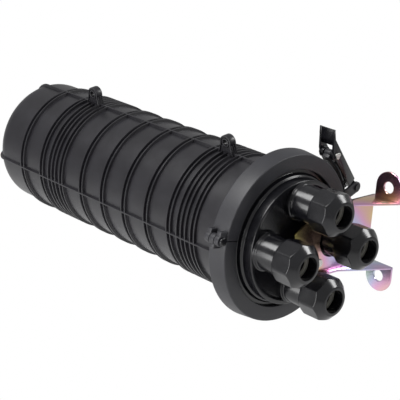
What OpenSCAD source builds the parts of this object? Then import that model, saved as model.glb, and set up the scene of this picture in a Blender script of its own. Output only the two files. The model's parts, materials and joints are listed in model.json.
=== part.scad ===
// Dome splice closure: a ribbed dome clamped to a four-port base by a hinged
// two-part hoop, with compression glands, a wall bracket and splice trays inside.
// Every part is drawn with the closure's axis along Z and the ports at the +Z
// end, the hoop's front face at z = 0; seated() then lays it in the shared frame:
// axis along +X, wall plane at y = 0, origin midway between the bracket's holes.

/* [Dome] */
// Outer radius of the dome's wall between its ribs
dome_r = 73.5; // [70:0.5:75]
// Thickness of the dome's wall
wall = 3.2; // [2.5:0.1:4]
// Height of the ribs above the wall
rib_h = 3; // [2:0.1:3.4]
// Width of one rib
rib_w = 2.2; // [1.5:0.1:2.8]
// Distance from one rib pair to the next
rib_pitch = 38.2; // [34:0.2:42]
// Distance between the two ribs of a pair
pair_gap = 6; // [5.2:0.1:6.5]
// Length of the plain wall past the last rib pair
end_len = 39; // [36:0.5:46]
// Depth of the rounded closed end
cap_len = 36; // [28:0.5:42]

/* [Hoop] */
// Outer radius of the hoop's front face
hoop_r = 92.5; // [92:0.1:93]
// Width of the hoop along the axis
hoop_w = 22; // [21.5:0.1:23]
// Radius from the axis to the hinge pin
hinge_r = 98.5; // [98:0.1:99.5]
// Radius of the hinge pin
hinge_pin_r = 2.5; // [2:0.1:3]
// Width of the latch lever
lever_w = 22; // [21:0.2:22]
// Width of the latch link
link_w = 9; // [7:0.2:10]

/* [Base and ports] */
// Radius of the base's raised face
face_r = 68.6; // [68:0.1:70]
// Height of the raised face above the hoop's front face
face_z = 14.4; // [13.5:0.1:15]
// Radius of the circle through the four port axes
port_circle = 46.3; // [46:0.1:47]
// Radius of the cable opening in each gland nut
bore_r = 12.5; // [11:0.1:13]
// Outer radius of a port's neck
neck_r = 19.2; // [18.8:0.1:19.6]
// Height of a port's plain neck, up to its gland nut
neck_len = 28.6; // [27:0.2:30]
// Gland nut size across its eight flats
nut_af = 45.2; // [44.6:0.1:46]
// Height of the gland nuts' mouths above the hoop's front face
mouth_z = 73.5; // [73:0.1:75]

/* [Bracket] */
// Distance from the closure's axis to the wall plane
wall_d = 110; // [109:0.5:114]
// Distance between the two ear holes
ear_span = 102; // [100:0.5:104]
// Radius of the ear holes
ear_hole_r = 6.5; // [4:0.1:7]
// Width of each ear
ear_w = 35; // [33:0.5:36]
// Thickness of the bracket's sheet steel
sheet = 2.5; // [2:0.1:3]

/* [Trays] */
// Height from one splice tray to the next
tray_step = 12; // [11.6:0.1:12.4]
// Width of a splice tray
tray_w = 104; // [98:1:106]
// Length of a splice tray
tray_len = 190; // [170:1:200]

/* [Hidden] */
$fn = 96;
e = 0.01;
gap = 0.3;          // between pieces that sit on each other
run = 0.1;          // radial clearance of a turning pin
turn_dome = 9.4;    // the dome sits turned by this much in its seat
turn_hoop = 171;    // direction of the hoop's hinge
rib_r = dome_r + rib_h;
pairs = 9;
first_pair = -68;   // station of the pair next to the hoop
last_pair = first_pair - (pairs - 1) * rib_pitch;
cap_z = last_pair - end_len;
seam_z = -11.6;     // plane where dome and base meet
rim_r = 88;         // outer radius of both flanges
lip_r = 76;         // inner radius of the hoop's front lip
rear_lip_r = 78.5;  // inner radius of the hoop's rear lip
band_r = hoop_r + 2;
link_r = 99;        // mid radius of the latch link
pivot_at = [111, 21.4];   // radius and direction of the lever's pivot
pin_at = [105.3, 51.4];   // radius and direction of the link's pin
hook_a = -17;             // direction of the hoop's catch
lever_a = 37.8;           // direction square to the closed lever
mid_z = -hoop_w / 2;
web_z = 24;               // front face of the bracket's web
ear_z = web_z + ear_w / 2;
shelf = 38.5;             // height of the bracket's two shelves
frame_z = -64;            // back of the tray frame's end plate
tray_top = -104;          // hinge line of the first tray
tray_t = 9;
trays = 3;
stack_h = tray_step * (trays - 1) + tray_t + gap + 2;
port_a = [90, 180, 270, 0];
nut_turn = [13.5, 10.5, 12, 8];   // how far each nut is turned about its port
nut_r = nut_af / 2 / cos(22.5);   // radius over the nut's corners
nut_z = face_z + neck_len;        // rear face of the nuts
nose_z = mouth_z - 8.8;           // where a nut's nose starts
seat_z = mouth_z - 18;            // end of the ports' thread, under the washer
thread_r = neck_r - 0.6;
seal_r = neck_r - 3.6;            // radius of the seals' seat
lip_or = bore_r + 3.5;            // radius of the flat ring at a nut's mouth

// ---------- placing ----------

module seated() translate([-ear_z, -wall_d, 0]) rotate([90, 0, 90]) children();

function polar(p) = [p[0] * cos(p[1]), p[0] * sin(p[1])];

module at_port(i) rotate(port_a[i]) translate([port_circle, 0, 0]) rotate(-port_a[i]) children();

module ring(ro, ri, z0, z1) translate([0, 0, z0]) difference() {
    cylinder(r = ro, h = z1 - z0);
    translate([0, 0, -1]) cylinder(r = ri, h = z1 - z0 + 2);
}

// ---------- dome ----------

// One circular rib of the dome, as a ring that runs into the wall.
module hoop_rib(z) ring(rib_r, dome_r - 1, z - rib_w / 2, z + rib_w / 2);

// Quarter-round points of the closed end, from its rim to the axis.
function cap_points(r, len, z) = [for (a = [0:7.5:90]) [r * cos(a), z - len * sin(a)]];

module dome_shell() rotate_extrude() polygon(concat(
    [[dome_r - wall, seam_z], [rim_r, seam_z], [rim_r, seam_z - 5.2], [rear_lip_r + 0.6, -19 + gap],
     [rear_lip_r - 0.6, -19 + gap], [rear_lip_r - 0.6, -26], [dome_r, -30]],
    cap_points(dome_r, cap_len, cap_z),
    [for (a = [90:-7.5:0]) [(dome_r - wall) * cos(a), cap_z - (cap_len - wall) * sin(a)]]));

// A suspension lug: an arch in the plane of the axis, with a bored boss.
module dome_lug(z) translate([0, 0, z]) rotate([90, 0, 90]) translate([0, 0, -4.5]) difference() {
    union() {
        linear_extrude(9) difference() {
            union() {
                translate([rib_r + 11, 0]) circle(r = 8.5);
                translate([dome_r - 1, -11]) polygon([[0, 0], [12, 2.6], [12, 19.4], [0, 22]]);
            }
            translate([rib_r + 11, 0]) circle(r = 3.5);
        }
    }
    for (s = [-1, 8]) translate([0, 0, s]) linear_extrude(2) difference() {
        translate([rib_r + 10.6, 0]) circle(r = 6.6);
        translate([rib_r + 11, 0]) circle(r = 5);
    }
}

module dome() color("#1c1c1f") difference() {
    union() {
        dome_shell();
        for (k = [0:pairs - 1]) for (s = [-0.5, 0.5]) hoop_rib(last_pair + k * rib_pitch + s * pair_gap);
        for (k = [1, 7]) for (f = [0.35, 0.53, 0.71]) hoop_rib(last_pair + (k + f) * rib_pitch);
        rotate(turn_dome) for (a = [0:90:270]) rotate(a)
            translate([dome_r - 1, -rib_w / 2, cap_z - 9]) cube([rib_h + 1, rib_w, -24 - cap_z + 9]);
        rotate(turn_dome) intersection() {
            rotate_extrude() polygon(concat(
                [[0, cap_z]], [[rib_r, cap_z]], cap_points(rib_r, cap_len + rib_h, cap_z)));
            for (a = [0:90:270]) rotate(a) translate([40, -rib_w / 2, cap_z - cap_len])
                cube([rib_r - 40, rib_w, cap_len + 1]);
        }
        rotate(turn_dome) for (k = [1.5, 7.5]) dome_lug(last_pair + k * rib_pitch);
        rotate(-110) translate([dome_r - 1, -3.5, -38]) cube([6, 7, 14]);
    }
    rotate_extrude() polygon(concat([[0, seam_z + 1], [dome_r - wall, seam_z + 1]],
        [for (a = [0:7.5:90]) [(dome_r - wall) * cos(a), cap_z - (cap_len - wall) * sin(a)]]));
}

// ---------- base ----------

module base_plate() rotate_extrude() polygon([[0, face_z - 10.5], [dome_r - wall - 4.5, face_z - 10.5], [dome_r - wall - 4.5, -40],
    [dome_r - wall - 1, -40], [dome_r - wall - 1, seam_z + gap], [rim_r, seam_z + gap],
    [rim_r, -6.2 - gap], [lip_r + 0.6, -4 - gap], [face_r + 3, -4 - gap], [face_r + 2, 1], [face_r, 2],
    [face_r, face_z - 1.5], [face_r - 1.5, face_z], [face_r - 5, face_z], [face_r - 6, face_z - 2.5], [0, face_z - 2.5]]);

// One port of the base: a collar, a plain neck and the thread inside its gland nut.
module port_tube() {
    translate([0, 0, -4]) cylinder(r = neck_r - 2, h = 20);
    translate([0, 0, face_z - 6]) cylinder(r = neck_r + 2.4, h = 7.6);
    cylinder(r = neck_r + 0.9, h = face_z + 3.4);
    cylinder(r = neck_r, h = nut_z - gap);
    cylinder(r = thread_r - 1.2, h = seat_z);
    for (z = [nut_z + 0.6:2:seat_z - 1.4]) translate([0, 0, z]) cylinder(r = thread_r, h = 1);
}

module base() color("#18181b") difference() {
    union() {
        base_plate();
        for (i = [0:3]) at_port(i) port_tube();
        for (s = [-1, 1]) translate([24 * s, 0, -60]) cylinder(r = 5, h = 66);
        for (s = [-1, 1]) translate([24, 24 * s, 5]) cylinder(r = 6, h = web_z - sheet - gap - 5);
    }
    for (i = [0:3]) at_port(i) {
        translate([0, 0, -20]) cylinder(r = bore_r + 0.5, h = 80);
        translate([0, 0, face_z + 2]) cylinder(r = seal_r, h = 60);
    }
    for (s = [-1, 1]) translate([24 * s, 0, -61]) cylinder(r = 1.9, h = 20);
    for (s = [-1, 1]) translate([24, 24 * s, 7]) cylinder(r = 2.3, h = 30);
    ring(84, 79, seam_z - 1, seam_z + 3.6);
}

module seal_ring() color("#26262a") rotate_extrude() translate([81.5, seam_z + 1.8]) circle(r = 1.7, $fn = 48);

// ---------- hoop ----------

module hoop_body() rotate_extrude() polygon([[lip_r, 0], [hoop_r - 1, 0], [hoop_r, -1], [band_r, -hoop_w + 1.2],
    [band_r - 1, -hoop_w], [rear_lip_r, -hoop_w], [rear_lip_r, -19], [rim_r + 0.6, -17.3],
    [rim_r + 0.6, -6], [lip_r, -3.9]]);

// Half of the turn about the axis, cut square at the parting faces.
module half_space(upper) rotate(turn_hoop) translate([0, upper ? -240.6 : 0.6, -60]) translate([-120, 0, 0]) cube([240, 240, 120]);

module hinge_spot() rotate(turn_hoop) translate([hinge_r, 0, 0]) rotate(-turn_hoop) children();

module knuckle(z0, z1, r) hinge_spot() translate([0, 0, z0]) cylinder(r = r, h = z1 - z0);

knuckles_upper = [[-21.4, -15], [-7.4, -1]];
knuckles_lower = [[-14.7, -7.7]];

// A hinge lug: a knuckle round the pin with a root that runs into one half of the hoop.
module hinge_lug(k, upper) rotate(turn_hoop) translate([0, 0, k[0]]) linear_extrude(k[1] - k[0]) union() {
    translate([hinge_r, 0]) circle(r = 6);
    translate([hinge_r - 8, upper ? -9.7 : 0.3]) square([11.5, 9.4]);
}

module hoop_lower() color("#202023") difference() {
    union() {
        intersection() {
            hoop_body();
            half_space(false);
        }
        for (k = knuckles_lower) hinge_lug(k, false);
        // catch for the latch link
        rotate(hook_a) translate([band_r - 2.5, -3, mid_z - link_w / 2]) cube([4.6, 6, link_w]);
    }
    for (k = knuckles_upper) knuckle(k[0] - gap + 0.1, k[1] + gap - 0.1, 6.4);
    knuckle(-60, 30, hinge_pin_r + run);
}

module cheek(z0, z1) translate([0, 0, z0]) difference() {
    union() {
        translate(polar(pivot_at)) cylinder(r = 6.2, h = z1 - z0);
        rotate(pivot_at[1]) translate([band_r - 4, -5.5, 0]) cube([pivot_at[0] - band_r + 4, 11, z1 - z0]);
    }
    translate(concat(polar(pivot_at), [-1])) cylinder(r = 2.5 + run, h = z1 - z0 + 2);
}

module hoop_upper() color("#202023") difference() {
    union() {
        intersection() {
            hoop_body();
            half_space(true);
        }
        for (k = knuckles_upper) hinge_lug(k, true);
        cheek(mid_z - 12.3, mid_z - 8.8);
        cheek(mid_z + 8.8, mid_z + 12.3);
    }
    for (k = knuckles_lower) knuckle(k[0] - gap + 0.1, k[1] + gap - 0.1, 6.4);
    knuckle(-60, 30, hinge_pin_r + run);
}

module hinge_pin() color("#2a2a2d") {
    knuckle(-21.4, 0.2, hinge_pin_r);
    knuckle(-0.7, 2, 4.4);
}

// ---------- latch ----------

// Outline of the closed lever seen along the axis: u runs from its pivot to its tip, v outwards.
lever_u = pivot_at[0] * sin(pivot_at[1] - lever_a);
lever_v = pivot_at[0] * cos(pivot_at[1] - lever_a);
pin_u = pin_at[0] * sin(pin_at[1] - lever_a);
pin_v = pin_at[0] * cos(pin_at[1] - lever_a);

module in_lever() rotate(lever_a) children();

// A point (u, v) of the lever is drawn at (v, u), so that in_lever() places it.
// The lever's side wall, from the eye at its pivot to its tip.
module lever_wall() union() {
    in_lever() polygon([[99.5, lever_u + 9], [110, lever_u + 10.5], [110, 48], [108.5, 48], [100.5, pin_u + 8], [98, pin_u], [98.5, lever_u + 30]]);
    translate(polar(pin_at)) circle(r = 6.4);
}

module lever_arm() union() {
    translate(polar(pivot_at)) circle(r = 5.6);
    in_lever() polygon([[lever_v - 5.5, lever_u], [lever_v + 4.5, lever_u - 3], [110, lever_u + 12], [110, 0], [101, 0], [99.5, lever_u + 12]]);
}

module latch_lever() color("#1a1a1c") difference() {
    union() {
        for (s = [-1, 1]) {
            translate([0, 0, mid_z + s * (lever_w / 2 - 1.4) - 1.4]) linear_extrude(2.8) lever_wall();
            translate([0, 0, mid_z + s * (link_w / 2 + 2.2) - 1.8]) linear_extrude(3.6) lever_arm();
            translate(concat(polar(pin_at), [mid_z + s * (link_w / 2 + 3) - 2.6])) cylinder(r = 6, h = 5.2);
        }
        in_lever() translate([0, 0, mid_z - lever_w / 2 + 0.5]) linear_extrude(lever_w - 1)
            polygon([[107, pin_u + 8.4], [109.6, pin_u + 8], [109.6, 40], [115.5, 52.5], [114, 53.5], [107.4, 42]]);
    }
    translate(concat(polar(pivot_at), [-60])) cylinder(r = 2.5 + run, h = 90);
    translate(concat(polar(pin_at), [-60])) cylinder(r = 2 + run, h = 90);
}

// Curved link: an eye on the lever's pin, a strap along the hoop and a lip behind the catch.
module latch_link() color("#2c2c30") translate([0, 0, mid_z - link_w / 2]) linear_extrude(link_w) difference() {
    union() {
        intersection() {
            difference() {
                circle(r = link_r + 1.4);
                circle(r = link_r - 1.4);
            }
            polygon([[0, 0], 150 * [cos(hook_a - 4.4), sin(hook_a - 4.4)], 190 * [cos(20), sin(20)], 150 * [cos(pin_at[1] + 1), sin(pin_at[1] + 1)]]);
        }
        translate(polar(pin_at)) circle(r = 4.6);
        rotate(pin_at[1]) translate([link_r - 0.8, -3.4]) square([pin_at[0] - link_r + 0.8, 6.8]);
        rotate(hook_a) translate([band_r + 0.7, -9.1]) square([link_r - band_r + 0.2, 3]);
    }
    translate(polar(pin_at)) circle(r = 2 + run);
}

module latch_pivot_pins() color("#2a2a2d") translate(concat(polar(pivot_at), [mid_z])) for (s = [0, 1]) mirror([0, 0, s]) {
    translate([0, 0, link_w / 2 + 0.4]) cylinder(r = 2.5, h = 8.6);
    translate([0, 0, 12.3 + gap]) cylinder(r = 3.6, h = 1.2);
}

module link_pin() color("#d0d0cc") translate(concat(polar(pin_at), [mid_z])) {
    translate([0, 0, -lever_w / 2 - 1]) cylinder(r = 2, h = lever_w + 2);
    translate([0, 0, lever_w / 2 + gap]) cylinder(r = 4.2, h = 2);
    translate([0, 0, -lever_w / 2 - gap - 1.4]) cylinder(r = 3.8, h = 1.4);
}

// ---------- glands ----------

module gland_nut(i) color("#161618") at_port(i) difference() {
    intersection() {
        translate([0, 0, nut_z]) rotate(nut_turn[i]) cylinder(d = nut_af / cos(22.5), h = mouth_z - nut_z, $fn = 8);
        rotate_extrude() polygon([[0, nut_z - 1], [nut_r - 2.8, nut_z - 1], [nut_r + 1, nut_z + 2.6],
            [nut_r + 1, nose_z - 1], [lip_or + 0.6, mouth_z - 0.7], [lip_or, mouth_z + 0.1], [0, mouth_z + 0.1]]);
    }
    translate([0, 0, nut_z - 1]) cylinder(r = thread_r + gap, h = seat_z + 4 - nut_z);
    translate([0, 0, seat_z + 2.9]) cylinder(r1 = thread_r + gap, r2 = bore_r, h = 5);
    translate([0, 0, seat_z]) cylinder(r = bore_r, h = 30);
}

module gland_washer(i) color("#d8d6cc") at_port(i) ring(seal_r + 1.6, bore_r + 0.4, seat_z + gap, seat_z + 2.3);

module gland_seal(i) color("#303034") at_port(i) ring(seal_r - gap, bore_r + 0.2, face_z + 2 + gap, seat_z);

// ---------- bracket ----------

// Outline of the bracket's web, from the middle of the ports to the wall side.
module web_outline() difference() {
    polygon([[-16, -14], [-16, 14], [24, shelf], [wall_d - sheet, shelf], [wall_d - sheet, -shelf], [24, -shelf]]);
    for (i = [0:3]) rotate(port_a[i]) translate([port_circle, 0]) circle(r = neck_r + 2.2);
}

module shelf_plate(s) translate([0, s * (shelf - sheet / 2), 0]) rotate([90, 0, 0]) translate([0, 0, -sheet / 2])
    linear_extrude(sheet) polygon([[30, web_z - sheet], [wall_d, web_z - sheet], [wall_d, web_z + ear_w - 1], [wall_d - sheet, web_z + ear_w - 1], [52, web_z + 6], [30, web_z + 6]]);

module ear(s) translate([wall_d - sheet, 0, ear_z]) rotate([0, 90, 0]) linear_extrude(sheet) difference() {
    union() {
        translate([0, s * ear_span / 2]) circle(d = ear_w);
        translate([-ear_w / 2, s > 0 ? shelf - sheet : -ear_span / 2]) square([ear_w, ear_span / 2 - shelf + sheet]);
    }
    translate([0, s * ear_span / 2]) circle(r = ear_hole_r);
}

module bracket() color("#b9b06a") difference() {
    union() {
        translate([0, 0, web_z - sheet]) linear_extrude(sheet) web_outline();
        for (s = [-1, 1]) {
            shelf_plate(s);
            ear(s);
        }
    }
    for (s = [-1, 1]) translate([24, 24 * s, web_z - 10]) cylinder(r = 2.6, h = 20);
}

module bracket_bolts() color("#c8c8c4") for (s = [-1, 1]) translate([24, 24 * s, web_z + gap]) {
    cylinder(d = 8 / cos(30), h = 3.4, $fn = 6);
    translate([0, 0, -15]) cylinder(r = 2.2, h = 16);
}

// ---------- inside ----------

// A tray's hinge pin lies across the frame, each tray a step above and before the last.
module at_tray(k) translate([0, tray_step * k, tray_top - 16 * (trays - 1 - k)]) children();

module tray_frame() color("#b9bcc0") difference() {
    union() {
        translate([-tray_w / 2, -16, frame_z]) cube([tray_w, 32, 3.7]);
        for (s = [-1, 1]) translate([s * (tray_w / 2 - 1.5) - 1.5, -16, -330]) cube([3, 10, 332 + frame_z]);
        translate([-tray_w / 2, -16, -330]) cube([tray_w, 3, 300 + frame_z]);
        for (k = [0:trays - 1]) at_tray(k) {
            translate([-tray_w / 2 + 14, -14 - tray_step * k, -3.5]) cube([tray_w - 28, 18.5 + tray_step * k, 3.5]);
            translate([-tray_w / 2 + 14, 4.5, 0]) rotate([0, 90, 0]) cylinder(r = 3.5, h = tray_w - 28);
        }
    }
    for (s = [-1, 1]) translate([24 * s, 0, frame_z - 5]) cylinder(r = 2.3, h = 20);
    for (k = [0:trays - 1]) at_tray(k) translate([-80, 4.5, 0]) rotate([0, 90, 0]) cylinder(r = 1.5 + run, h = 160);
}

module frame_bolts() color("#c8c8c4") for (s = [-1, 1]) translate([24 * s, 0, 0]) {
    translate([0, 0, frame_z - 3 - gap]) cylinder(r = 4, h = 3);
    translate([0, 0, frame_z - 1]) cylinder(r = 1.7, h = 20);
}

// A splice tray: an open box with fibre guides, a comb for the splices and two hinge ears.
module splice_tray(k) color("#e8e6dc") at_tray(k) difference() {
    union() {
        translate([-tray_w / 2, 0, -6 - tray_len]) difference() {
            cube([tray_w, tray_t, tray_len]);
            translate([1.8, 1.8, 1.8]) cube([tray_w - 3.6, tray_t, tray_len - 3.6]);
        }
        for (s = [-1, 1]) translate([s * 25, 1, -tray_len + 40]) rotate([-90, 0, 0]) difference() {
            cylinder(r = 19, h = tray_t - 2);
            translate([0, 0, -1]) cylinder(r = 17, h = 20);
        }
        for (j = [0:5]) translate([-20.8 + 8 * j, 1, -76]) cube([1.6, tray_t - 3, 42]);
        for (s = [-1, 1]) translate([s * (tray_w / 2 - 7) - 2.5, 0, 0]) {
            translate([0, 1, -8]) cube([5, 7, 8]);
            translate([0, 4.5, 0]) rotate([0, 90, 0]) cylinder(r = 3.5, h = 5);
        }
    }
    translate([-80, 4.5, 0]) rotate([0, 90, 0]) cylinder(r = 1.5 + run, h = 160);
}

module tray_lid() color("#dfe6e8") at_tray(trays - 1) translate([-tray_w / 2, tray_t + gap, -6 - tray_len])
    cube([tray_w, 2, tray_len - 6]);

module tray_hinge_pins() color("#c8c8c4") for (k = [0:trays - 1]) at_tray(k)
    translate([-tray_w / 2 + 3, 4.5, 0]) rotate([0, 90, 0]) cylinder(r = 1.5, h = tray_w - 6);

module tray_strap() color("#202024") translate([0, 0, tray_top - 150]) difference() {
    translate([-tray_w / 2 - 2, -18, 0]) cube([tray_w + 4, stack_h + 20, 14]);
    translate([-tray_w / 2 - gap, -16 - gap, -1]) cube([tray_w + 2 * gap, stack_h + 16.5, 16]);
}

// Clamps that grip the cables' strength members, each a post with a screw head.
module cable_clamps() color("#c8c8c4") for (s = [-1, 1]) translate([38 * s, 9, frame_z - gap]) {
    translate([-4, -5, -12]) cube([8, 10, 12]);
    translate([0, 0, -14]) cylinder(r = 3.4, h = 3);
}

// ---------- output ----------

seated() {
    dome();
    base();
    seal_ring();
    hoop_lower();
    hoop_upper();
    hinge_pin();
    latch_lever();
    latch_link();
    latch_pivot_pins();
    link_pin();
    gland_nut(0);  // gland_nut_1
    gland_nut(1);  // gland_nut_2
    gland_nut(2);  // gland_nut_3
    gland_nut(3);  // gland_nut_4
    gland_washer(0);  // gland_washer_1
    gland_washer(1);  // gland_washer_2
    gland_washer(2);  // gland_washer_3
    gland_washer(3);  // gland_washer_4
    gland_seal(0);  // gland_seal_1
    gland_seal(1);  // gland_seal_2
    gland_seal(2);  // gland_seal_3
    gland_seal(3);  // gland_seal_4
    bracket();
    bracket_bolts();
    tray_frame();
    frame_bolts();
    splice_tray(0);  // splice_tray_1
    splice_tray(1);  // splice_tray_2
    splice_tray(2);  // splice_tray_3
    tray_lid();
    tray_hinge_pins();
    tray_strap();
    cable_clamps();
}
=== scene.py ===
import json
import bmesh
import bpy
import numpy as np
from mathutils import Matrix, Vector


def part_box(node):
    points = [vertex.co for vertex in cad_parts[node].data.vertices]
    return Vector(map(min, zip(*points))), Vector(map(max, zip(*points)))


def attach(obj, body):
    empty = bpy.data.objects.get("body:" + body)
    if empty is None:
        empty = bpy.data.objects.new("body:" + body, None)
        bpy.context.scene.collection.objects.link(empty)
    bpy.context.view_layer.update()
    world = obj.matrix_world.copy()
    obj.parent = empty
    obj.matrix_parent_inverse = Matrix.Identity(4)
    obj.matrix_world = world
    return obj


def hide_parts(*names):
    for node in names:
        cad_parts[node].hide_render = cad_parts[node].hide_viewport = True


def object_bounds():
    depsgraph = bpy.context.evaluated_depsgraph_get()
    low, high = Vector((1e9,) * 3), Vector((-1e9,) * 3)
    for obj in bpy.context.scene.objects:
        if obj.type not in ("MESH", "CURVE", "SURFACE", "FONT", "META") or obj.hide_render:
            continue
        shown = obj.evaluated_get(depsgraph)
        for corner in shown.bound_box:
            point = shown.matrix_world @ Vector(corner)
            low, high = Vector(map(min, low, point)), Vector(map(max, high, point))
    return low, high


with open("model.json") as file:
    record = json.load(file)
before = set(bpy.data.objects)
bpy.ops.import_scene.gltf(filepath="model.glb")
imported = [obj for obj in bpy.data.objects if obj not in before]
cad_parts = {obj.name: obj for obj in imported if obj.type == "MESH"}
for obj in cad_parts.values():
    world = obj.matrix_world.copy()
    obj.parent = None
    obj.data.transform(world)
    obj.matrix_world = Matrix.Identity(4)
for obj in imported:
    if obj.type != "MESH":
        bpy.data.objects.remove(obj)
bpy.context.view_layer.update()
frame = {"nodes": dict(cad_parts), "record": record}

# ---------------------------------------------------------------- where the closure lies
# The closure's axis runs along X. Its height and depth come from the four cable ports, which
# stand evenly round it, and stations along it are counted from the hoop's front face.
mounts = {m["name"]: m for m in frame["record"]["mounts"]}
ports = np.array([mounts[f"cable_port_{i}"]["pos_m"] for i in (1, 2, 3, 4)])
axis_yz = ports[:, 1:].mean(0)
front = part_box("hoop_lower")[1].x


def at(x, r, a, centre=(0.0, 0.0)):
    """Points at station x mm and at radius r mm, angle a radians (from the wall side, turning
    up) about a line that lies centre mm (to the wall, up) off the axis: (x, cy + r cos a, cz + r sin a)."""
    x, r, a = np.broadcast_arrays(x, r, a)
    return np.stack([x, centre[0] + r * np.cos(a), centre[1] + r * np.sin(a)], -1)


def polar(r, degrees):
    """The point (r cos a, r sin a), in mm toward the wall and up from the axis."""
    a = np.radians(degrees)
    return np.array([r * np.cos(a), r * np.sin(a)])


def spoke(degrees):
    """Unit vectors at an angle about the axis: outward (0, cos a, sin a) and round it
    (0, -sin a, cos a)."""
    c, s = polar(1, degrees)
    return np.array([0, c, s]), np.array([0, -s, c])


def spoke_frame(degrees):
    """The frame of a slab drawn as (outward, round) and raised along the axis."""
    return ((0, 0, 0), *spoke(degrees), (1, 0, 0))


def rounded(points, radius, steps=4):
    """Closed outline with each corner replaced by a quadratic arc that leaves both sides up to
    `radius` from the corner: (1-t)^2 A + 2t(1-t) C + t^2 B, with A and B on the two sides."""
    p = np.asarray(points, float)
    d0, d1 = np.roll(p, 1, 0) - p, np.roll(p, -1, 0) - p
    l0, l1 = np.linalg.norm(d0, axis=1), np.linalg.norm(d1, axis=1)
    cut = np.minimum(np.broadcast_to(radius, len(p)), 0.45 * np.minimum(l0, l1))
    a, b = p + d0 * (cut / l0)[:, None], p + d1 * (cut / l1)[:, None]
    t = np.linspace(0, 1, steps)[None, :, None]
    return ((1 - t) ** 2 * a[:, None] + 2 * t * (1 - t) * p[:, None] + t ** 2 * b[:, None]).reshape(-1, 2)


def sheet_faces(nu, nv, wrap_u, wrap_v, base=0):
    """Quads between neighbouring points of an nu by nv grid, joined round where it wraps."""
    u, v = np.meshgrid(np.arange(nu if wrap_u else nu - 1), np.arange(nv if wrap_v else nv - 1),
                       indexing="ij")
    un, vn = (u + 1) % nu, (v + 1) % nv
    return (np.stack([u * nv + v, un * nv + v, un * nv + vn, u * nv + vn], -1).reshape(-1,
            4) + base).tolist()


class Shape:
    """Points in mm and faces of one piece, gathered from several closed surfaces."""

    def __init__(self):
        self.points, self.faces, self.count = [], [], 0

    def add(self, grid, wrap_u=False, wrap_v=False, caps=False):
        """Adds a grid of points; caps closes its first and last rows, a polygon each."""
        nu, nv = grid.shape[:2]
        self.faces += sheet_faces(nu, nv, wrap_u, wrap_v, self.count)
        if caps:
            self.faces.append([self.count + i for i in range(nv)][::-1])
            self.faces.append([self.count + (nu - 1) * nv + i for i in range(nv)])
        self.points.append(grid.reshape(-1, 3))
        self.count += nu * nv
        return self

    def turned(self, profile, centre=(0.0, 0.0), arc=None, n=96):
        """Closed (x, r) profile carried round a line along X: a full turn, or arc = (from, to)
        in degrees with flat ends."""
        x, r = np.asarray(profile, float).T
        a = np.linspace(0, 2 * np.pi, n, endpoint=False) if arc is None else np.radians(np.linspace(*arc,
                n))
        return self.add(at(x[None], r[None], a[:, None], centre), arc is None, True, arc is not None)

    def slab(self, outline, low, high, edge=0.5, frame3=None):
        """Closed (p, q) outline raised from low to high along the third axis, its rims eased by
        `edge`. frame3 = (origin, p axis, q axis, third axis) in mm; without it p, q are the wall
        side and up, and the third axis is the closure's."""
        o = np.asarray(outline, float)
        t = np.roll(o, -1, 0) - np.roll(o, 1, 0)
        t /= np.maximum(np.linalg.norm(t, axis=1), 1e-9)[:, None]
        area = (o[:, 0] * np.roll(o[:, 1], -1) - o[:, 1] * np.roll(o[:, 0], -1)).sum()
        inward = np.stack([-t[:, 1], t[:, 0]], 1) * np.sign(area)
        rows = [(low, edge), (low + 0.3 * edge, 0.3 * edge), (low + edge, 0), (high - edge, 0),
                (high - 0.3 * edge, 0.3 * edge), (high, edge)]
        origin, e1, e2, e3 = [np.array(v, float) for v in (frame3 or ((0, 0, 0), (0, 1, 0), (0, 0, 1), (1,
                0, 0)))]
        flat = [o + inward * k for _, k in rows]
        grid = np.stack([origin + f[:, :1] * e1 + f[:, 1:] * e2 + h * e3 for (h, _), f in zip(rows, flat)])
        return self.add(grid, False, True, True)

    def eye(self, reach, hole, levels, origin, e_out, e_side, e_thick, n=96):
        """A plate with one round hole: on each ray from the hole's centre, at angle phi from e_out
        to e_side, the section runs from the outline, reach(phi) mm away, to the hole. levels =
        (where, inset, half thickness): where 1 counts the inset from the outline, 0 from the hole."""
        phi = np.linspace(0, 2 * np.pi, n, endpoint=False)
        out = reach(np.cos(phi), np.sin(phi))
        half = [(out - k if w else hole + k + 0 * out, h) for w, k, h in levels]
        section = half + [(r, -h) for r, h in half[::-1]]
        o, e1, e2, e3 = [np.array(v, float) for v in (origin, e_out, e_side, e_thick)]
        grid = np.stack([o + (r * np.cos(phi))[:, None] * e1 + (r * np.sin(phi))[:,
                None] * e2 + h * e3 for r, h in section], 1)
        return self.add(grid, True, True)

    def piece(self, name, body, material, smooth=38, nodes=(), slot=None):
        """The finished object: doubles merged, normals outward, faces smooth up to an angle."""
        v = np.concatenate(self.points) * 0.001 + np.array([front, *axis_yz])
        mesh = bpy.data.meshes.new(name)
        mesh.from_pydata(v.tolist(), [], self.faces)
        b = bmesh.new()
        b.from_mesh(mesh)
        bmesh.ops.remove_doubles(b, verts=b.verts, dist=2e-6)
        bmesh.ops.recalc_face_normals(b, faces=b.faces)
        b.to_mesh(mesh)
        b.free()
        mesh.polygons.foreach_set("use_smooth", np.ones(len(mesh.polygons), bool))
        mesh.set_sharp_from_angle(angle=np.radians(smooth))
        obj = bpy.data.objects.new(name, mesh)
        bpy.context.scene.collection.objects.link(obj)
        mesh.materials.append(material)
        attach(obj, body)
        if nodes:
            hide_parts(*nodes)
        return obj


def linear(code):
    """sRGB hex to linear RGBA."""
    c = np.array([int(code[i:i + 2], 16) for i in (1, 3, 5)]) / 255
    return (*np.where(c <= 0.04045, c / 12.92, ((c + 0.055) / 1.055) ** 2.4), 1.0)


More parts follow.
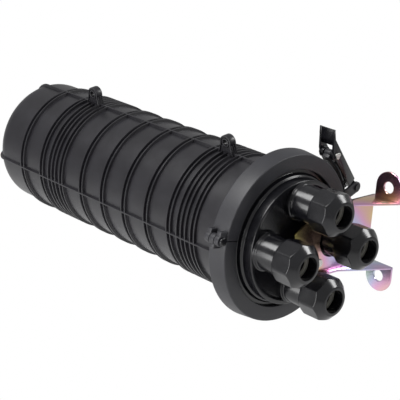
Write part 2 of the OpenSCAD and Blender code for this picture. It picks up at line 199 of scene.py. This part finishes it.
def add(tree, kind, inputs=None, **settings):
    """A node with its settings; each input is a value or the socket that feeds it."""
    n = tree.nodes.new("ShaderNode" + kind)
    for k, v in settings.items():
        setattr(n, k, v)
    for k, v in (inputs or {}).items():
        if isinstance(v, bpy.types.NodeSocket):
            tree.links.new(v, n.inputs[k])
        else:
            n.inputs[k].default_value = v
    return n


def blank(name):
    """A new material and its emptied node tree."""
    m = bpy.data.materials.new(name)
    m.use_nodes = True
    m.node_tree.nodes.clear()
    return m, m.node_tree


def surface(tree, socket, kind="OutputMaterial"):
    """Feeds a shader's socket to the output of a material or of the world."""
    tree.links.new(socket, add(tree, kind).inputs["Surface"])


def two_shades(tree, value, dark, light):
    """A ramp from the dark to the light colour over the middle of a noise's span."""
    shade = add(tree, "ValToRGB", {"Fac": value})
    for element, position, code in zip(shade.color_ramp.elements, (0.3, 0.7), (dark, light)):
        element.position, element.color = position, linear(code)
    return shade


def moulded(name, dark, light, rough, grain_mm, grain, swirl_mm=25.0):
    """Moulded plastic: two close shades that drift as the melt did, a roughness that follows
    them, and a fine grain of grain_mm from the mould's surface."""
    m, t = blank(name)
    place = add(t, "TexCoord").outputs["Object"]
    drift = add(t, "TexNoise", {"Vector": place, "Scale": 1000 / swirl_mm, "Detail": 3.0,
                                "Roughness": 0.55})
    shade = two_shades(t, drift.outputs["Fac"], dark, light)
    gloss = add(t, "MapRange", {"Value": drift.outputs["Fac"], "From Min": 0.3, "From Max": 0.7,
                                "To Min": rough - 0.04, "To Max": rough + 0.04})
    fine = add(t, "TexNoise", {"Vector": place, "Scale": 1000 / grain_mm, "Detail": 2.0, "Roughness": 0.6})
    bump = add(t, "Bump", {"Height": fine.outputs["Fac"], "Strength": grain, "Distance": 0.0002})
    shader = add(t, "BsdfPrincipled", {"Base Color": shade.outputs["Color"],
                                       "Roughness": gloss.outputs["Result"], "Normal": bump.outputs["Normal"], "IOR": 1.5})
    surface(t, shader.outputs["BSDF"])
    return m


# ---------------------------------------------------------------- dome
# The long closed cover, moulded in black polypropylene: a plain wall stiffened by thin rings in
# pairs, two close groups of rings beside the hanging eyes and four ribs along it, and a rounded end.
dome_plastic = moulded("moulded_polypropylene", "#17161a", "#1d1c21", 0.36, 0.9, 0.10)
wall_r, rib_h, rib_half, pitch, last_pair = 73.5, 3.0, 1.1, 38.2, -373.6
cap_x, cap_len, turn = -412.6, 36.0, np.radians(9.4)
rings = np.concatenate([last_pair + pitch * np.arange(9) - 3, last_pair + pitch * np.arange(9) + 3,
                        [last_pair + pitch * (k + f) for k in (1, 7) for f in (0.35, 0.53, 0.71)]])


def ridge(distance, half, ease=0.45):
    """Height of a rib with leaning sides: 1 on its top, easing to 0 by smoothstep at its foot."""
    t = np.clip((half + ease - np.abs(distance)) / (2 * ease), 0, 1)
    return t * t * (3 - 2 * t)


steps = np.array([0, 0.35, 0.7, 0.95, 1.2, 1.55, 2.4])
stations = np.unique(np.round(np.concatenate([(rings[:, None] + np.concatenate([-steps, steps])).ravel(),
                                              np.linspace(cap_x + 4, -32, 46)]), 3))[::-1]
shoulder = np.array([[-11.6, 88], [-16.8, 88], [-18.7, 79.1], [-18.7, 77.9], [-25.5, 77.9], [-26.4, 77.4],
                     [-29.6, 73.9], [-30.6, 73.5]])
bend = np.linspace(0, np.pi / 2, 26)
cap = np.stack([cap_x - cap_len * np.sin(bend), wall_r * np.cos(bend)], 1)
line = np.concatenate([shoulder, np.stack([stations, np.full(len(stations), wall_r)], 1), cap])
normal = np.zeros_like(line)
normal[:, 1] = 1
normal[-26:] = np.stack([-np.sin(bend) / cap_len, np.cos(bend) / wall_r], 1)
normal /= np.linalg.norm(normal, axis=1)[:, None]
spread = np.concatenate([-steps, steps]) / wall_r
angle = np.unique(np.round(np.concatenate([(turn + np.radians([0, 90, 180, 270])[:,
        None] + spread).ravel() % (2 * np.pi), np.linspace(0, 2 * np.pi, 144, endpoint=False)]), 5))
across = (angle[None] - turn + np.pi / 4) % (np.pi / 2) - np.pi / 4
on_wall = ((line[:, 0] < -31) & (line[:, 0] > cap_x - 30))[:, None]
ring_up = ridge(line[:, :1] - rings[None], rib_half).max(1, keepdims=True) * on_wall
fade = np.clip((line[:, :1] - (cap_x - 33)) / 9, 0, 1)
rib_up = ridge(across * np.maximum(line[:, 1:], 1), rib_half) * (line[:, :1] < -27) * fade
height = rib_h * np.maximum(ring_up, rib_up)
outer = at(line[:, :1] + normal[:, :1] * height, line[:, 1:] + normal[:, 1:] * height, angle[None])
inside = np.stack([np.concatenate([[cap_x - (cap_len - 3.2)], cap_x - (cap_len - 3.2) * np.sin(bend[::-5]),
                                   [-11.6]]),
                   np.concatenate([[0.0], 70.3 * np.cos(bend[::-5]), [70.3]])], 1)
dome = Shape().add(np.concatenate([outer, at(inside[:, :1], inside[:, 1:], angle[None])]), False, True)
dome.faces += [[i, i + 1, dome.count - len(angle) + i + 1,
                dome.count - len(angle) + i] for i in range(len(angle) - 1)] + [[len(angle) - 1, 0,
                        dome.count - len(angle), dome.count - 1]]


def arch(c, s):
    """Reach of the hanging eye's outline: a round top of 8.5 mm, sides that spread downwards
    and a foot inside the dome's wall."""
    side = 7.75 / np.maximum(np.abs(s) + 0.2167 * c, 1e-3)
    return np.where(c < 0, np.maximum(8.5, np.minimum(side, 14.6 / np.maximum(-c, 1e-3))), 8.5)


up = np.pi / 2 + turn
e_out, e_round = np.array([0, np.cos(up), np.sin(up)]), np.array([0, -np.sin(up), np.cos(up)])
for k in (1.5, 7.5):
    x = last_pair + k * pitch
    dome.eye(arch, 3.5, [(1, 0, 3.6), (1, 0.3, 4.3), (1, 1.0, 4.5), (1, 1.9, 4.4), (1, 2.3, 3.1),
                         (0, 2.2, 3.1), (0, 1.8, 4.3), (0, 0.5, 4.5), (0, 0, 4.1)],
             np.array([x, 0, 0]) + e_out * 87.5, e_out, (1, 0, 0), e_round)
    for s in (-1, 1):
        for g in (-2.6, 0, 2.6):
            dome.slab(rounded([(0.2, -0.5), (13, -0.5), (13, 0.5), (0.2, 0.5)], 0.4, 3), 0, 1, 0.25,
                      (np.array([x + s * 9.6, 0, 0]) + e_out * 73 + e_round * g,
                       e_out - 0.13 * s * np.array([1, 0, 0]), e_round, (s, 0, 0)))
tab_a = -110
dome.slab(rounded([(72.5, -3.5), (78.4, -3.5), (78.4, 3.5), (72.5, 3.5)], 1.2), -38, -24, 0.8,
          spoke_frame(tab_a))
dome.piece("dome_shell", "closure", dome_plastic, nodes=["dome"], slot="dome_plastic")

# ---------------------------------------------------------------- base
# The end plate that carries the ports, moulded in glass-filled black plastic and polished in
# the mould: a shallow cup with a raised rim, four necks on stepped collars and a spigot behind.
gloss_black = moulded("polished_moulded_plastic", "#0f0f12", "#151519", 0.2, 1.4, 0.05, swirl_mm=18)
plate = Shape()
plate.turned(rounded([(3.9, 0.01), (3.9, 65.8), (-40, 65.8), (-40, 69.3), (-11.3, 69.3), (-11.3, 88), (-6.5,
        88), (-4.3, 76.6),
                      (-4.3, 71.6), (1, 70.6), (2, 68.6), (14.4, 68.6), (14.4, 63.6), (11.9, 62.6), (11.9,
                              0.01)],
                     [0, .8, .5, .5, .5, .5, .5, .5, 1.5, 1, .9, 1.1, 1.2, 1.2, 0], 5), n=160)
body = plate.piece("base_plate", "closure", gloss_black, nodes=["base"], slot="black_plastic")
bores = Shape()
for p in ports:
    c = (p[1:] - axis_yz) * 1000
    bores.turned([(-20, 0.01), (-20, 13), (30, 13), (30, 0.01)], c, n=64)
cutter = bores.piece("bore_cutter", "closure", gloss_black)
cut = body.modifiers.new("bores", "BOOLEAN")
cut.object, cut.operation, cut.solver = cutter, "DIFFERENCE", "EXACT"
bpy.context.view_layer.update()
body.data = bpy.data.meshes.new_from_object(body.evaluated_get(bpy.context.evaluated_depsgraph_get()))
body.modifiers.clear()
bpy.data.objects.remove(cutter)
body.data.polygons.foreach_set("use_smooth", np.ones(len(body.data.polygons), bool))
body.data.set_sharp_from_angle(angle=np.radians(38))

necks = Shape()
for p in ports:
    c = (p[1:] - axis_yz) * 1000
    rings_x = np.arange(44, 54.5, 2.0)
    thread = [(x + d, r) for x in rings_x for d, r in ((0, 17.4), (0.5, 18.6), (1.1, 18.6), (1.6, 17.4))]
    necks.turned(rounded([(-4, 13), (-4, 17.2), (8, 17.2), (8.6, 21.6), (15.9, 21.6), (16.4, 20.1), (17.8,
            20.1), (18.6, 19.2), (42.7, 19.2), (42.7, 17.4)]
                         + thread + [(55.5, 17.4), (55.5, 15.6), (16.4, 15.6), (16.4,
                                 13)], 0.5, 3), c, n=96)
for s in (-1, 1):
    necks.turned(rounded([(-60, 1.9), (-60, 5), (6, 5), (6, 1.9)], 0.5, 3), (24 * s, 0), n=32)
    necks.turned(rounded([(5, 2.3), (5, 6), (21.2, 6), (21.2, 2.3)], 0.5, 3), (24, 24 * s), n=32)
necks.piece("base_necks", "closure", gloss_black, slot="black_plastic")

# ---------------------------------------------------------------- clamping hoop
# Two half rings of tough textured plastic that wedge the dome's flange against the base: hinged
# on one side, drawn together by the latch on the other, with a straight parting on each side.
textured = moulded("textured_moulded_plastic", "#222226", "#2a2a2f", 0.47, 0.55, 0.22, swirl_mm=30)
hoop_profile = rounded([(0, 76), (0, 92.5), (-22, 94.5), (-22, 78.5), (-19, 78.5), (-17.3, 88.6),
                        (-6, 88.6), (-3.9, 76)],
                       [1.2, 1.6, 1.4, 0.8, 0.4, 1, 1, 0.6], 6)
part = np.degrees(0.6 / 90)
hinge_r, hinge_a, catch_a, pivot_r, pivot_a = 98.5, 171, -17, 111, 21.4
hinge_c = polar(hinge_r, hinge_a)


def cheek_reach(c, s):
    """Reach of a cheek's outline from the lever's pivot: round outside, straight sides inward
    and a foot inside the hoop."""
    side = np.maximum(6.2, 5.9 / np.maximum(np.abs(s), 1e-3))
    return np.where(c < 0, np.minimum(side, 19.5 / np.maximum(-c, 1e-3)), 6.2)


for name, arc, spans, q in (("hoop_lower", (hinge_a + part, hinge_a + 180 - part), [(-14.6, -7.8)],
                             (0.4, 9.6)), ("hoop_upper", (hinge_a - 180 + part, hinge_a - part),
                                           [(-21.3, -15.1), (-7.3, -1.1)], (-9.6, -0.4))):
    half = Shape().turned(hoop_profile, arc=arc, n=110)
    for x0, x1 in spans:
        half.turned(rounded([(x0, 2.6), (x0, 6), (x1, 6), (x1, 2.6)], 0.7), hinge_c, n=48)
        half.slab(rounded([(91, q[0]), (101.8, q[0]), (101.8, q[1]), (91, q[1])], 1.2), x0 + 0.2, x1 - 0.2,
                  0.5, spoke_frame(hinge_a))
    if name == "hoop_lower":
        half.slab(rounded([(92, -3), (96.6, -3), (96.6, 3), (92, 3)], 0.8), -15.5, -6.5, 0.5,
                  spoke_frame(catch_a))
    else:
        p_out, p_up = spoke(pivot_a)
        for x in (-21.55, -0.45):
            half.eye(cheek_reach, 2.6,
                     [(1, 0, 1.2), (1, 0.3, 1.6), (1, 0.7, 1.75), (0, 0.5, 1.75), (0, 0, 1.4)], np.array([x,
                             0, 0]) + p_out * pivot_r, p_out, p_up, (1, 0, 0), 64)
    half.piece(name + "_half", "closure", textured, nodes=[name], slot="hoop_plastic")
pin = Shape().turned(rounded([(-21.4, 0.01), (-21.4, 2.5), (-0.7, 2.5), (-0.7, 4.4), (1.8, 4.4), (2.0,
        0.01)], [0, .4, 0, .3, 1.1, 0]), hinge_c, n=40)
pin.piece("hinge_pin_headed", "closure", gloss_black, nodes=["hinge_pin"], slot="dark_pin")

# ---------------------------------------------------------------- latch
# An over-centre latch: a channel-shaped lever of moulded black plastic, a curved link that goes
# round to the catch, and a bright zinc-plated pin with a three-lobed riveted head.
lever_a, pin_r, pin_a = 37.8, 105.3, 51.4
lever_frame = spoke_frame(lever_a)
pivot_c, pin_c = polar(pivot_r, pivot_a), polar(pin_r, pin_a)
pivot, joint = polar(pivot_r, pivot_a - lever_a), polar(pin_r, pin_a - lever_a)
lever = Shape()
wall = rounded([(99.5, pivot[1] + 9), (110, pivot[1] + 10.5), (110, 46.5), (115.4, 52.3), (114, 53.2),
                (108, 44), (100.5, joint[1] + 8), (98, joint[1]), (98.5, pivot[1] + 30)], 1.0)
for s in (-1, 1):
    x = -11 + s * 9.6
    lever.slab(wall, x - 1.4, x + 1.4, 0.4, lever_frame)
    x = -11 + s * 6.7
    lever.slab(rounded([(pivot[0] - 5.3, pivot[1]), (pivot[0] + 3.4, pivot[1] - 4), (109.8, pivot[1] + 12),
                        (109.8, 0), (101, 0), (99.5,
                                               pivot[1] + 12)], 1.2), x - 1.8, x + 1.8, 0.4, lever_frame)
    lever.turned(rounded([(x - 1.8, 2.6), (x - 1.8, 5.6), (x + 1.8, 5.6), (x + 1.8, 2.6)], 0.5), pivot_c,
                 n=40)
    x = -11 + s * 7.5
    lever.turned(rounded([(x - 2.6, 2.1), (x - 2.6, 6), (x + 2.6, 6), (x + 2.6, 2.1)], 0.5), pin_c, n=40)
lever.slab(rounded([(107, joint[1] + 8.4), (109.6, joint[1] + 8), (109.6, 40), (115.3, 52.2), (113.9, 53.1),
                    (107.4, 42)], 0.8), -21.6, -0.4, 0.5, lever_frame)
lever.piece("latch_lever_channel", "lever", gloss_black, nodes=["latch_lever"], slot="hoop_plastic")

link = Shape()
strap = np.radians(np.linspace(-21.4, 50, 60))
section = rounded([(-15.5, 97.6), (-15.5, 100.4), (-6.5, 100.4), (-6.5, 97.6)], 0.6, 3)
link.add(at(section[None, :, 0], section[None, :, 1], strap[:, None]), False, True, True)
link.turned(rounded([(-15.5, 2.1), (-15.5, 4.6), (-6.5, 4.6), (-6.5, 2.1)], 0.5), pin_c, n=40)
link.slab(rounded([(98.4, -3.4), (102.8, -3.4), (102.8, 3.4), (98.4, 3.4)], 0.5), -15.5, -6.5, 0.4,
          spoke_frame(pin_a))
link.slab(rounded([(95.2, -9.1), (99.2, -9.1), (99.2, -6.1), (95.2, -6.1)], 0.6), -15.5, -6.5, 0.4,
          spoke_frame(catch_a))
link.piece("latch_link_strap", "link", textured, nodes=["latch_link"], slot="hoop_plastic")


def metal(name, dark, light, rough, streak_mm):
    """Bare or plated metal: two close shades and a roughness that drift at streak_mm."""
    m, t = blank(name)
    place = add(t, "TexCoord").outputs["Object"]
    drift = add(t, "TexNoise", {"Vector": place, "Scale": 1000 / streak_mm, "Detail": 4.0,
                                "Roughness": 0.6})
    shade = two_shades(t, drift.outputs["Fac"], dark, light)
    gloss = add(t, "MapRange", {"Value": drift.outputs["Fac"], "From Min": 0.3, "From Max": 0.7,
                                "To Min": rough - 0.05, "To Max": rough + 0.07})
    bump = add(t, "Bump", {"Height": drift.outputs["Fac"], "Strength": 0.15, "Distance": 0.0001})
    shader = add(t, "BsdfPrincipled", {"Base Color": shade.outputs["Color"],
                                       "Roughness": gloss.outputs["Result"], "Normal": bump.outputs["Normal"], "Metallic": 1.0})
    surface(t, shader.outputs["BSDF"])
    return m


zinc = metal("bright_zinc_plate", "#b9b7b4", "#e2e0dc", 0.28, 1.5)
pins = Shape()
pins.turned(rounded([(-22, 0.01), (-22, 2), (0, 2), (0, 0.01)], [0, .3, .3, 0], 3), pin_c, n=24)
for k in range(3):
    lobe = np.radians(30 + 120 * k)
    pins.turned(rounded([(0.3, 0.01), (0.3, 2.3), (2.0, 2.3), (2.3, 0.01)], [0, .3, 1.0, 0]),
                (pin_c[0] + 1.9 * np.cos(lobe), pin_c[1] + 1.9 * np.sin(lobe)), n=32)
pins.turned(rounded([(-23.7, 0.01), (-23.7, 3.8), (-22.3, 3.8), (-22.3, 0.01)], [0, .8, .3, 0]), pin_c,
            n=32)
pins.piece("link_pin_riveted", "lever", zinc, nodes=["link_pin"], slot="zinc_steel")

# ---------------------------------------------------------------- gland nuts
# Eight-sided compression nuts of polished black plastic. Each nose is a cone that cuts the
# corners back to a flat ring at the mouth; the wall inside is turned to the cable's bore.
nut_turns = {1: 13.5, 2: 10.5, 3: 12.0, 4: 8.0}
rim = 22.6
nut_rad = rim / np.cos(np.radians(22.5))
n_x = np.unique(np.concatenate([np.linspace(43.2, 47, 9), np.linspace(47, 62.5, 10), np.linspace(62.5, 72.6,
        34), [72.9]]))
nose = np.interp(n_x, [43.0, 46.6, 63.7, 72.8, 73.4], [nut_rad - 1.9, nut_rad + 1.2, nut_rad + 1, 16.6,
                                                       16.0])


def eight_sided(a, turned_by):
    """Radius of an octagon whose flats lie 22.6 mm out, with corners eased over about a millimetre:
    (sum over the flats of max(cos(a - flat), 0)^60)^(-1/60) times the flat's distance."""
    flats = turned_by + np.radians(22.5 + 45 * np.arange(8))
    c = np.maximum(np.cos(a[..., None] - flats), 1e-6)
    return rim / (c ** 60).sum(-1) ** (1 / 60)


for i, p in enumerate(ports, 1):
    c = (p[1:] - axis_yz) * 1000
    a = np.linspace(0, 2 * np.pi, 192, endpoint=False)
    side = eight_sided(a, np.radians(nut_turns[i]))[:, None]
    cone = nose[None]
    both = -np.log(np.exp(-side / 0.12) + np.exp(-cone / 0.12)) * 0.12
    outer_x = np.broadcast_to(n_x[None], both.shape)
    rest = np.array([(73.3, 16.1), (73.5, 15.6), (73.5, 13.1), (73.2, 12.6), (63.4, 12.5), (58.4, 18.9),
                     (43.0, 18.9), (43.0, 20.5)])
    x = np.concatenate([outer_x, np.broadcast_to(rest[None, :, 0], (192, 8))], 1)
    r = np.concatenate([both, np.broadcast_to(rest[None, :, 1], (192, 8))], 1)
    nut = Shape().add(at(x, r, a[:, None], c), True, True)
    nut.piece(f"gland_nut_{i}_body", f"nut_{i}", gloss_black, 30, nodes=[f"gland_nut_{i}"],
              slot="black_plastic")

# ---------------------------------------------------------------- wall bracket
# Sheet steel, folded and then zinc plated and yellow passivated, which leaves a thin film that
# shines in gold, pink, lilac and pale green. Its web is cut round the ports' necks.
passivated, t = blank("yellow_passivated_zinc")
place = add(t, "TexCoord").outputs["Object"]
warp = add(t, "TexNoise", {"Vector": place, "Scale": 9.0, "Detail": 2.0, "Roughness": 0.5})
film = add(t, "ValToRGB", {"Fac": warp.outputs["Fac"]})
ramp = film.color_ramp
for pos, code in ((0.30, "#c9bf74"), (0.40, "#e0cf86"), (0.46, "#dcb5a4"), (0.52, "#dba9c9"), (0.58,
        "#bfc0e0"), (0.66, "#c4d8cc"), (0.76, "#d8cf7c")):
    ramp.elements.new(pos).color = linear(code)
ramp.elements.remove(ramp.elements[0])
ramp.elements.remove(ramp.elements[-1])
fine = add(t, "TexNoise", {"Vector": place, "Scale": 900.0, "Detail": 2.0, "Roughness": 0.6})
bump = add(t, "Bump", {"Height": fine.outputs["Fac"], "Strength": 0.06, "Distance": 0.0001})
gloss = add(t, "MapRange", {"Value": warp.outputs["Fac"], "From Min": 0.3, "From Max": 0.7, "To Min": 0.16,
                            "To Max": 0.28})
shader = add(t, "BsdfPrincipled", {"Base Color": film.outputs["Color"], "Metallic": 1.0,
                                   "Roughness": gloss.outputs["Result"], "Normal": bump.outputs["Normal"]})
surface(t, shader.outputs["BSDF"])


def web_reach(c, s):
    """Reach of the web from the wall-side port: to its straight edges, and to the round cuts
    about the upper and lower ports' necks, whichever a ray meets first."""
    far = 999 * np.ones_like(c)
    wall_side = np.where(c > 0, 61.2 / np.maximum(c, 1e-3), far)
    edges = 38.5 / np.maximum(np.abs(s), 1e-3)
    end = np.where(c < 0, 62.3 / np.maximum(-c, 1e-3), far)
    # the slanting edges run from (-22.3, 38.5) to (-62.3, 14)
    slant = np.where(c < 0, (38.5 + 0.6125 * 22.3) / np.maximum(np.abs(s) - 0.6125 * c, 1e-3), far)
    b = -46.3 * c + 46.3 * np.abs(s)
    disc = b ** 2 - (2 * 46.3 ** 2 - 21.4 ** 2)
    neck = np.where((disc > 0) & (b > 0), b - np.sqrt(np.maximum(disc, 0)), far)
    return np.minimum.reduce([wall_side, edges, end, slant, neck])


bracket = Shape()
bracket.eye(web_reach, 21.4, [(1, 0, 0.9), (1, 0.35, 1.25), (0, 0.35, 1.25), (0, 0, 0.9)], (22.75, 46.3, 0),
            (0, 1, 0), (0, 0, 1), (1, 0, 0), 256)


def ear_reach(c, s):
    """Reach of an ear's outline from its hole: a half round of 17.5 mm, straight sides and a
    straight edge where it is folded from the shelf."""
    return np.where(c > 0, 17.5, np.minimum(17.5 / np.maximum(np.abs(s), 1e-3),
                                            14.9 / np.maximum(-c, 1e-3)))


for s in (-1, 1):
    bracket.slab(rounded([(30, 21.5), (109.2, 21.5), (109.2, 58), (107, 58.4), (52, 30), (30, 30)],
                         [1, 1, 1, 1, 3, 1]), 36.0, 38.5, 0.4, ((0, 0, 0), (0, 1, 0), (1, 0, 0), (0, 0, s)))
    bracket.eye(ear_reach, 6.5, [(1, 0, 0.9), (1, 0.35, 1.25), (0, 0.35, 1.25), (0, 0, 0.9)], (41.5, 108.75,
            51.0 * s), (0, 0, s), (1, 0, 0), (0, 1, 0), 96)
bracket.piece("bracket_sheet", "closure", passivated, nodes=["bracket"], slot="passivated_steel")

# ---------------------------------------------------------------- pieces kept from the frame
# Washers, seals, screws and what is inside the dome keep their solids and get their own finish.
seal_rubber = moulded("epdm_rubber", "#141416", "#1b1b1e", 0.6, 0.8, 0.3)
acetal = moulded("acetal_washer", "#c9c6bd", "#d8d5cc", 0.4, 1.0, 0.08)
tray_plastic = moulded("moulded_abs", "#d6d3c8", "#e2dfd5", 0.33, 1.2, 0.06)
lid_plastic = moulded("smoky_polycarbonate", "#a9b4b8", "#bcc6c9", 0.15, 1.5, 0.03)
stainless = metal("rolled_stainless", "#9b9da0", "#b8babc", 0.34, 3.0)
webbing = moulded("woven_nylon", "#17171a", "#222226", 0.75, 0.9, 0.6)
finish = {"seal_ring": seal_rubber, "frame_bolts": zinc, "bracket_bolts": zinc, "tray_hinge_pins": zinc,
          "cable_clamps": zinc, "latch_pivot_pins": gloss_black,
          "tray_frame": stainless, "tray_lid": lid_plastic, "tray_strap": webbing}
for i in (1, 2, 3, 4):
    finish[f"gland_washer_{i}"], finish[f"gland_seal_{i}"] = acetal, seal_rubber
for i in (1, 2, 3):
    finish[f"splice_tray_{i}"] = tray_plastic
for name, material in finish.items():
    data = frame["nodes"][name].data
    data.materials.clear()
    data.materials.append(material)

# ---------------------------------------------------------------- floor, light and camera
# A pale floor under the hanging closure, soft lamps and a white surround.
lo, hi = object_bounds()
floor_mesh = bpy.data.meshes.new("floor")
floor_mesh.from_pydata([(-6, -6, lo.z - 0.3), (6, -6, lo.z - 0.3), (6, 6, lo.z - 0.3), (-6, 6, lo.z - 0.3)],
                       [], [(0, 1, 2, 3)])
floor = bpy.data.objects.new("floor", floor_mesh)
bpy.context.scene.collection.objects.link(floor)
pale, t = blank("pale_floor")
path = add(t, "LightPath")
matt = add(t, "BsdfDiffuse", {"Color": (0.85, 0.85, 0.85, 1)})
white = add(t, "Emission", {"Color": (1, 1, 1, 1), "Strength": 1.0})
mix = add(t, "MixShader", {0: path.outputs["Is Camera Ray"], 1: matt.outputs["BSDF"],
                           2: white.outputs["Emission"]})
surface(t, mix.outputs["Shader"])
floor_mesh.materials.append(pale)

world = bpy.data.worlds.new("studio")
bpy.context.scene.world = world
world.use_nodes = True
t = world.node_tree
t.nodes.clear()
path = add(t, "LightPath")
seen = add(t, "Background", {"Color": (1, 1, 1, 1), "Strength": 1.0})
soft = add(t, "Background", {"Color": (1, 1, 1, 1), "Strength": 0.45})
mix = add(t, "MixShader", {0: path.outputs["Is Camera Ray"], 1: soft.outputs["Background"],
                           2: seen.outputs["Background"]})
surface(t, mix.outputs["Shader"], "OutputWorld")

hub = Vector((front, axis_yz[0], axis_yz[1]))
for name, place, size, power in (("key", (-0.5, -0.9, 1.5), 0.9, 26.0), ("side", (-0.3, -1.6, -0.1), 0.9,
        16.0), ("rim", (0.6, 1.0, 1.0), 0.5, 10.0)):
    lamp = bpy.data.lights.new(name, "AREA")
    lamp.energy, lamp.size = power, size
    obj = bpy.data.objects.new(name, lamp)
    bpy.context.scene.collection.objects.link(obj)
    obj.location = hub + Vector(place)
    obj.rotation_mode = "QUATERNION"
    obj.rotation_quaternion = (Vector((-0.15, 0, 0)) - Vector(place)).to_track_quat("-Z", "Y")

camera = bpy.data.objects.new("camera", bpy.data.cameras.new("camera"))
bpy.context.scene.collection.objects.link(camera)
camera.data.lens, camera.data.sensor_width = 123.0, 36.0
ahead, right = Vector((-0.682, 0.660, -0.317)).normalized(), Vector((0.676, 0.733, 0.073))
right = (right - right.dot(ahead) * ahead).normalized()
top = right.cross(ahead)
turn3 = Matrix((right, top, -ahead)).transposed()
camera.matrix_world = Matrix.Translation(hub + Vector((0.9137, -1.0178, 0.4914))) @ turn3.to_4x4()
bpy.context.scene.camera = camera
bpy.context.scene.view_settings.view_transform = "Standard"
